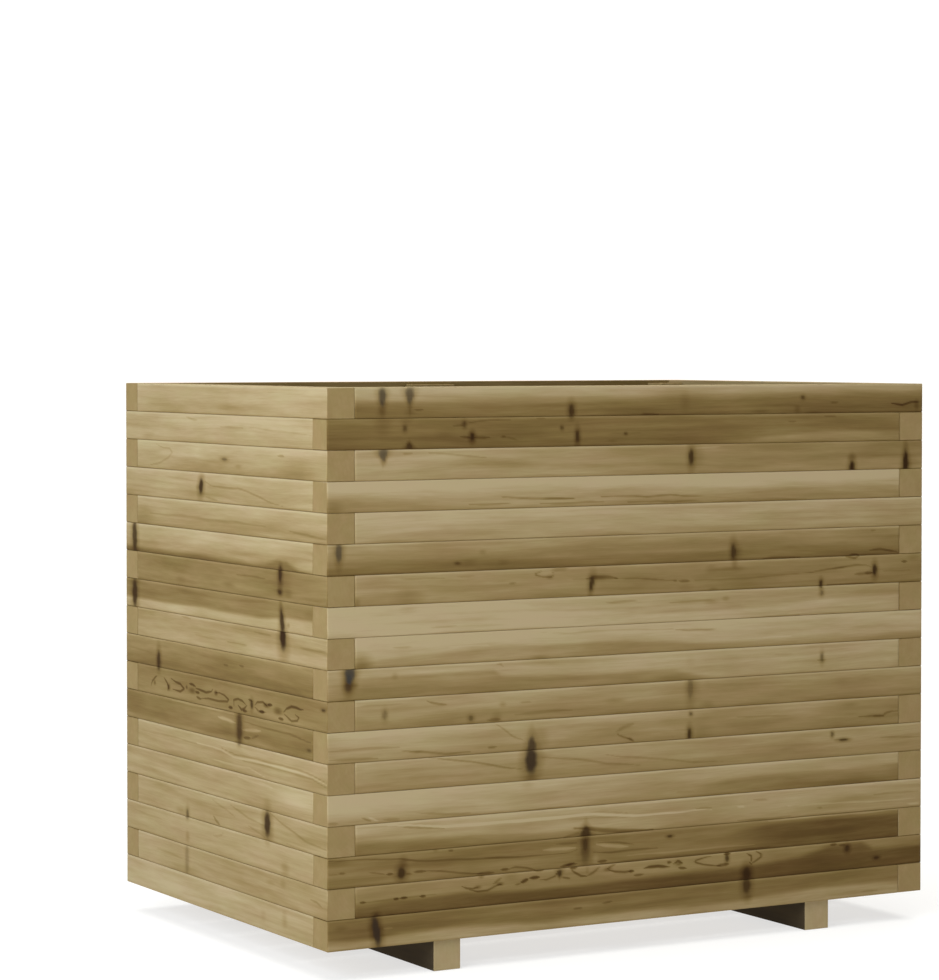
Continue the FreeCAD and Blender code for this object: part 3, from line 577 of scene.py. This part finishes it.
def chance_look(wall, course):
    """Wood of a beam at the back or the right: the same timber, with its knots where they fall."""
    luck = random.Random(f"{wall} {course}")
    half = BED_LENGTH / 2 if wall == "back" else BED_DEPTH / 2
    marks = []
    for count in range(luck.choice((0, 1, 2, 2, 3, 4))):
        foot = luck.uniform(-6, 20)
        marks.append(Knot(along=luck.uniform(-half, half), top=foot + luck.uniform(8, 34), foot=foot,
                          half_width=luck.uniform(3, 7), dark=luck.uniform(0.5, 1.0),
                          taper=luck.uniform(-0.4, 0.5)))
    for count in range(luck.choice((2, 3, 4))):
        start, rise = luck.uniform(-half, half), luck.uniform(-5, 5)
        length, up = luck.uniform(20, 160), luck.uniform(6, 32)
        marks.append(Streak(half_height=luck.uniform(1.1, 2), dark=luck.uniform(-0.3, 0.5),
                            points=((start, up), (start + 0.4 * length, up + rise),
                                    (start + length, up + 0.6 * rise))))
    for count in range(2):
        marks.append(Patch(along=luck.uniform(-half, half), up=luck.uniform(5, 33),
                           half_length=luck.uniform(6, 50), half_height=luck.uniform(3, 9),
                           dark=luck.uniform(-0.3, 0.35)))
    level = luck.uniform(8, 28)
    marks.append(Border(softness=5, dark=luck.uniform(-0.4, 0.6),
                        points=((-half - SOFT_END, level), (0, luck.uniform(6, 30)),
                                (half + SOFT_END, luck.uniform(6, 30)))))
    return Look(tone=luck.choice((0.58, 0.61, 0.64, 0.67, 0.69, 0.71, 0.73)), fade=luck.uniform(-0.03, 0.08),
                drift=luck.uniform(-0.06, 0.04), marks=tuple(marks))


def ease(value, start, end):
    """Rises smoothly from 0 at the start to 1 at the end."""
    share = min(max((value - start) / (end - start), 0.0), 1.0)
    return share * share * (3 - 2 * share)


def stretch(mark):
    """The part of the beam's length that a mark can reach."""
    if isinstance(mark, Knot):
        return mark.along - KNOT_REACH * mark.half_width, mark.along + KNOT_REACH * mark.half_width
    if isinstance(mark, Patch):
        return mark.along - PATCH_REACH * mark.half_length, mark.along + PATCH_REACH * mark.half_length
    ends = [along for along, up in mark.points]
    margin = STREAK_REACH * mark.half_height if isinstance(mark, Streak) else 0
    return min(ends) - margin, max(ends) + margin


def waver(along, start, waves):
    """How far a line in the wood wanders off its course, in millimetres."""
    return sum(height * math.sin(along / length + turn * start) for height, length, turn in waves)


def off_line(points, along, up):
    """How far a place is from a line through the points, and what share of the line's length it lies from
    the line's nearer end."""
    nearest, place, run = math.inf, 0.0, 0.0
    for (x0, z0), (x1, z1) in zip(points, points[1:]):
        dx, dz = x1 - x0, z1 - z0
        length = math.hypot(dx, dz)
        share = min(max(((along - x0) * dx + (up - z0) * dz) / length ** 2, 0.0), 1.0)
        away = math.hypot(along - x0 - share * dx, up - z0 - share * dz)
        if away < nearest:
            nearest, place = away, run + share * length
        run += length
    return nearest, min(place, run - place) / run


def level_at(points, along):
    """Height of a border at a place along the beam."""
    for (x0, z0), (x1, z1) in zip(points, points[1:]):
        share = (along - x0) / (x1 - x0)
        if 0 <= share <= 1:
            return z0 + (z1 - z0) * share
    return points[-1][1]


def wood_at(look, reaches, along, up):
    """Tone of a beam's wood at a place on its face, its share of knot there, and how blue the knot is."""
    tone = look.tone + look.fade * (ease(up, 0, BEAM) - 0.5) + look.drift * along / BED_LENGTH
    # Painted highlight along the top edge, and painted shade along the underside's edge.
    highlit = ease(up, BEAM - HIGHLIGHT_BAND[0], BEAM - HIGHLIGHT_BAND[1])
    under_shade = 1 - ease(up, *UNDER_SHADE_BAND)
    tone += TOP_EDGE_HIGHLIGHT * highlit - UNDER_EDGE_SHADE * under_shade
    knot = blue = 0.0
    for mark, (start, end) in zip(look.marks, reaches):
        if not start < along < end:
            continue
        if isinstance(mark, Knot):
            over = (2 * up - mark.top - mark.foot) / (mark.top - mark.foot)
            half_width = mark.half_width * max(1 + mark.taper * over, KNOT_TIP)
            beside = (along - mark.along - mark.lean * over) / half_width
            beside += KNOT_WAVER[0] * math.sin(up / KNOT_WAVER[1] + mark.along)
            reach = math.hypot(beside, over)
            core = mark.dark * (1 - ease(reach, *KNOT_FADE))
            if core > knot:
                knot, blue = core, mark.blue
            tone -= HALO_STAIN * STAIN * mark.dark * (1 - ease(reach, *HALO_FADE))
        elif isinstance(mark, Streak):
            wander = waver(along, mark.points[0][0], LINE_WAVES)
            away, inside = off_line(mark.points, along, up + wander)
            width = mark.half_height * (STREAK_TIP + (1 - STREAK_TIP) * ease(inside, 0, STREAK_TAPER))
            tone -= STREAK_STAIN * STAIN * mark.dark * (1 - ease(away / width, *STREAK_FADE))
        elif isinstance(mark, Patch):
            reach = math.hypot((along - mark.along) / mark.half_length, (up - mark.up) / mark.half_height)
            tone -= STAIN * mark.dark * (1 - ease(reach, *PATCH_FADE))
        else:
            wander = BORDER_WAVER * waver(along / BORDER_RUN, mark.points[0][1], LINE_WAVES)
            level = level_at(mark.points, along) + wander
            ends = min(ease(along, start, start + SOFT_END), 1 - ease(along, end - SOFT_END, end))
            below = 1 - ease(up, level - mark.softness, level + mark.softness)
            tone -= STAIN * mark.dark * ends * below
    return tone, knot, blue


def planed_blank(wall, cuts, rows):
    """A square bar with eased edges in the middle of a wall, cut fine for its wood to show: along its length
    by each of the cuts in turn, and in rows up its outer face."""
    across = wall in ("left", "right")
    length = (BED_DEPTH if across else BED_LENGTH) - BEAM
    sizes = [BEAM, length, BEAM] if across else [length, BEAM, BEAM]
    bpy.ops.object.select_all(action="DESELECT")
    bpy.ops.mesh.primitive_cube_add(size=1.0, scale=[size / METRE for size in sizes])
    bpy.ops.object.transform_apply(location=False, rotation=False, scale=True)
    blank = bpy.context.active_object
    bpy.context.tool_settings.mesh_select_mode = (False, True, False)
    bpy.ops.object.mode_set(mode="EDIT")
    bpy.ops.mesh.select_all(action="SELECT")
    bpy.ops.mesh.bevel(offset=EASED_EDGE / METRE, segments=2, affect="EDGES")
    outer = (-1 if wall in ("front", "left") else 1) * BEAM / 2 / METRE
    for upright, number in [(False, cut) for cut in cuts] + [(True, rows)]:
        bpy.ops.mesh.select_all(action="DESELECT")
        bpy.ops.object.mode_set(mode="OBJECT")
        mesh = blank.data
        for edge in mesh.edges:
            a, b = (mesh.vertices[v].co for v in edge.vertices)
            step = b - a
            if upright:
                on_face = all(abs(point[not across] - outer) < NEAR / METRE for point in (a, b))
                edge.select = on_face and abs(step.z) > BEAM / 2 / METRE
            else:
                lengthwise = abs(step[across]) > LENGTHWISE * step.length
                edge.select = lengthwise and step.length > 2 * EASED_EDGE / METRE
        bpy.ops.object.mode_set(mode="EDIT")
        bpy.ops.mesh.subdivide(number_cuts=number)
    bpy.ops.object.mode_set(mode="OBJECT")
    return blank


def lay_beam(blank, wall, course, start, look):
    """Copies the blank to its place in the wall and notes at each point what its wood shows there."""
    across = wall in ("left", "right")
    length = (BED_DEPTH if across else BED_LENGTH) - BEAM
    base = WALL_BASE + (course - 1) * BEAM
    outside = (BED_LENGTH if across else BED_DEPTH) / 2
    if wall in ("front", "left"):
        outside = -outside
    inward = -1 if outside > 0 else 1
    middle = [0.0, 0.0, (base + BEAM / 2) / METRE]
    middle[across] = (start + length / 2) / METRE
    middle[not across] = (outside + inward * BEAM / 2) / METRE
    bpy.ops.object.select_all(action="DESELECT")
    blank.select_set(True)
    bpy.context.view_layer.objects.active = blank
    bpy.ops.object.duplicate()
    beam = bpy.context.active_object
    beam.name = f"{wall}_beam_{course:02d}"
    beam.data.name = beam.name
    bpy.ops.transform.translate(value=middle)
    bpy.ops.object.transform_apply(location=True, rotation=False, scale=False)
    bpy.ops.object.shade_smooth()
    bpy.ops.object.modifier_add(type="WEIGHTED_NORMAL")
    bpy.ops.object.modifier_apply(modifier=beam.modifiers[0].name)

    # Each beam is sawn from its own place along a log, on one side or the other of the log's heart.
    luck = random.Random(f"log {wall} {course}")
    in_log = luck.uniform(0, LOG_RUN)
    heart = (0, luck.choice((-1, 1)) * luck.uniform(*BEAM_HEART_ASIDE), luck.uniform(*BEAM_HEART_ABOVE))
    reaches = [stretch(mark) for mark in look.marks]
    grain, wood, stain = [], [], []
    for point in beam.data.vertices:
        along = METRE * point.co[across]
        depth = inward * (METRE * point.co[not across] - outside)
        up = METRE * point.co.z - base
        tone, knot, blue = look.tone + look.drift * along / BED_LENGTH, 0.0, 0.0
        if depth < BEAM / 2:
            tone, knot, blue = wood_at(look, reaches, along, up)
        # Painted shade down in the joints between courses, deepest in the crevice.
        if (up > BEAM - EASED_EDGE and course < COURSES) or (up < EASED_EDGE and course > 1):
            tone -= JOINT_SHADE * ease(min(depth, BEAM - depth), 0, EASED_EDGE)
        at_end = abs(abs(along - start - length / 2) - length / 2) < NEAR
        grain += (along + in_log, depth, up + waver(along, in_log, LOG_WAVES))
        wood += (tone, knot, float(at_end))
        stain.append(blue)
    beam.data.attributes.new("blue_stain", "FLOAT", "POINT").data.foreach_set("value", stain)
    for name, values in (("grain", grain), ("wood", wood), ("heart", heart * len(beam.data.vertices))):
        beam.data.attributes.new(name, "FLOAT_VECTOR", "POINT").data.foreach_set("vector", values)

    dress(beam, beam_pine)
    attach(beam, "root")
    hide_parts(f"course_{course:02d}_{'side' if across else 'long'}_beams")


# Planed pressure-treated pine of the beams: matt olive tan, with long soft streaks, tones that differ from
# beam to beam, dark spindles of branch wood, brown or blue with stain, and plain end grain. Its tones also
# hold a painted highlight on each beam's top edge and painted shade on its underside's edge and in the
# joints.
beam_pine = bare_material("pressure_treated_pine")
tree = beam_pine.node_tree
grain, wood, heart = [add_node(tree, "Attribute", {"attribute_name": name}, {})["Vector"]
                      for name in ("grain", "wood", "heart")]
wood = add_node(tree, "SeparateXYZ", {}, {0: wood})
figure, ridges = pine_figure(tree, grain, heart)
colour = pine_colour(tree, pine_tone(tree, wood["X"], figure, wood["Z"], END_GRAIN), grain)
blue = add_node(tree, "Attribute", {"attribute_name": "blue_stain"}, {})["Fac"]
branch = add_node(tree, "MixRGB", {},
                  {"Fac": blue, "Color1": linear("#2f1e0b"), "Color2": linear("#303334")})[0]
colour = add_node(tree, "MixRGB", {}, {"Fac": wood["Y"], "Color1": colour, "Color2": branch})[0]
pine_surface(tree, colour, ridges)

# Cuts along a beam and rows up its face. The front and left walls are cut finest, with places 2.5 mm apart
# along them, or 1.5 mm on beams with curly figure, and 4 mm on the other two walls.
wall_cuts = {"front": ((85, 3), 26), "left": ((73, 2), 26), "back": ((71, 2), 16), "right": ((46, 2), 16)}
curly_cuts = {("front", 2): ((143, 3), 34), ("front", 3): ((143, 3), 34), ("left", 8): ((93, 3), 34)}
blanks = {wall: planed_blank(wall, cuts, rows) for wall, (cuts, rows) in wall_cuts.items()}
curly_blanks = {(wall, course): planed_blank(wall, cuts, rows)
                for (wall, course), (cuts, rows) in curly_cuts.items()}
for course in range(1, COURSES + 1):
    even = course % 2 == 0
    starts = {"front": BEAM if even else 0, "back": 0 if even else BEAM,
              "left": 0 if even else BEAM, "right": BEAM if even else 0}
    looks = {"front": front_looks[course], "back": chance_look("back", course),
             "left": left_looks[course], "right": chance_look("right", course)}
    for wall, blank in blanks.items():
        half = BED_LENGTH / 2 if wall in ("front", "back") else BED_DEPTH / 2
        lay_beam(curly_blanks.get((wall, course), blank), wall, course, starts[wall] - half, looks[wall])
for blank in list(blanks.values()) + list(curly_blanks.values()):
    bpy.data.objects.remove(blank)


# Posts and battens: four square posts in the corners and a flat batten at the middle of each long wall.
# Planed treated pine, upright, that the beams of every course are screwed to from inside.

ALONG_Z = (0.0, math.radians(90), 0.0)
HEART_OFF = (24.0, 18.0)  # how far from an upright's middle the heart of its log was, to the left and back
upright_tones = {"front_left_post": 0.64, "front_right_post": 0.68, "back_left_post": 0.61,
                 "back_right_post": 0.66, "front_batten": 0.69, "back_batten": 0.65}
for node, tone in upright_tones.items():
    low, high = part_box(node)
    heart = (0, METRE * (low.y + high.y) / 2 + HEART_OFF[1], -METRE * (low.x + high.x) / 2 + HEART_OFF[0])
    ends = (METRE * low.z, METRE * high.z)
    dress_in_pine(node, tone, ALONG_Z, heart, ends)


# Screws: countersunk wood screws with a hexagonal drive, whose heads are flush with the posts, battens and
# boards. Cold-headed steel, zinc plated, which is bright with a thin grey bloom.

BLOOM = 2.5  # size of a patch of bloom
zinc = bare_material("zinc_plated_steel")
tree = zinc.node_tree
place = add_node(tree, "TexCoord", {}, {})["Object"]
bloom = add_node(tree, "TexNoise", {}, {"Vector": place, "Scale": METRE / BLOOM, "Detail": 3.0})[0]
colour = add_node(tree, "MixRGB", {},
                  {"Fac": bloom, "Color1": linear("#b4b8ba"), "Color2": linear("#dcdfe0")})[0]
rough = add_node(tree, "MapRange", {}, {"Value": bloom, "To Min": 0.4, "To Max": 0.6})[0]
shader = add_node(tree, "BsdfPrincipled", {}, {"Base Color": colour, "Metallic": 1.0, "Roughness": rough})[0]
add_node(tree, "OutputMaterial", {}, {"Surface": shader})
for node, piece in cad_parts.items():
    if node.endswith("_screws"):
        dress(piece, zinc)


# Studio: a pale paper floor, a surround that is brightest overhead, a broad soft key light from the left in
# front, and a weaker, cooler one from the left behind.

FLOOR_SIZE = 120.0  # metres
FLOOR_DROP = 0.0004  # metres under the skids, so that the two surfaces don't share a plane
bpy.ops.object.select_all(action="DESELECT")
bpy.ops.mesh.primitive_plane_add(size=FLOOR_SIZE, location=(0.0, 0.0, -FLOOR_DROP))
bpy.ops.object.transform_apply(location=True, rotation=False, scale=False)
floor = bpy.context.active_object
floor.name = "studio_floor"
# White paper, wholly matt, with a light of its own that keeps it pale all round the bed.
paper = bare_material("white_paper")
tree = paper.node_tree
shader = add_node(tree, "BsdfPrincipled", {},
                  {"Base Color": linear("#9f9f9f"), "Emission Color": linear("#ffffff"),
                   "Emission Strength": 0.68, "Roughness": 1.0, "Specular IOR Level": 0.0})[0]
add_node(tree, "OutputMaterial", {}, {"Surface": shader})
dress(floor, paper)

SURROUND_STRENGTH = 3.7
studio = bpy.data.worlds.new("studio")
bpy.context.scene.world = studio
studio.use_nodes = True
tree = studio.node_tree
tree.nodes.clear()
direction = add_node(tree, "TexCoord", {}, {})["Generated"]
height = add_node(tree, "SeparateXYZ", {}, {0: direction})["Z"]
glow = add_node(tree, "ValToRGB", {}, {"Fac": height})["Color"]
stops = glow.node.color_ramp.elements
bands = [(0.0, "#989390"), (0.12, "#989390"), (0.17, "#262626"), (0.80, "#262626"), (0.88, "#fffdf5")]
for position, shade in bands[1:-1]:
    stops.new(position)
for stop, (position, shade) in zip(stops, bands):
    stop.position = position
    stop.color = linear(shade)
surround = add_node(tree, "Background", {}, {"Color": glow, "Strength": SURROUND_STRENGTH})[0]
add_node(tree, "OutputWorld", {}, {"Surface": surround})

# Each lamp's place and size in metres, its tilt and turn in degrees, its power and its tint.
Lamp = namedtuple("Lamp", "name place tilt turn size watts tint")
for plan in (Lamp("key_light", (-2.65, -1.55, 1.6), 62, -60, 1.5, 61.0, "#f5fbff"),
             Lamp("side_light", (-2.8, 1.2, 1.7), 65, -115, 1.2, 20.0, "#d5e8ff")):
    bpy.ops.object.light_add(type="AREA", location=plan.place)
    lamp = bpy.context.active_object
    lamp.name = plan.name
    lamp.data.size = plan.size
    lamp.data.energy = plan.watts
    lamp.data.color = linear(plan.tint)[:3]
    lamp.rotation_euler = (math.radians(plan.tilt), 0.0, math.radians(plan.turn))

CAMERA_PLACE = (-2.2148, -3.7282, 0.7691)  # metres
CAMERA_DIP = 1.481  # degrees under the level
CAMERA_TURN = -29.794  # degrees from looking straight at the front wall
bpy.ops.object.camera_add(location=CAMERA_PLACE,
                          rotation=(math.radians(90 - CAMERA_DIP), 0.0, math.radians(CAMERA_TURN)))
camera = bpy.context.active_object
camera.data.lens = 117.457
camera.data.shift_y = -0.06
camera.data.sensor_width = 36.0
camera.data.clip_end = 500.0
bpy.context.scene.camera = camera
bpy.context.scene.view_settings.view_transform = "Standard"
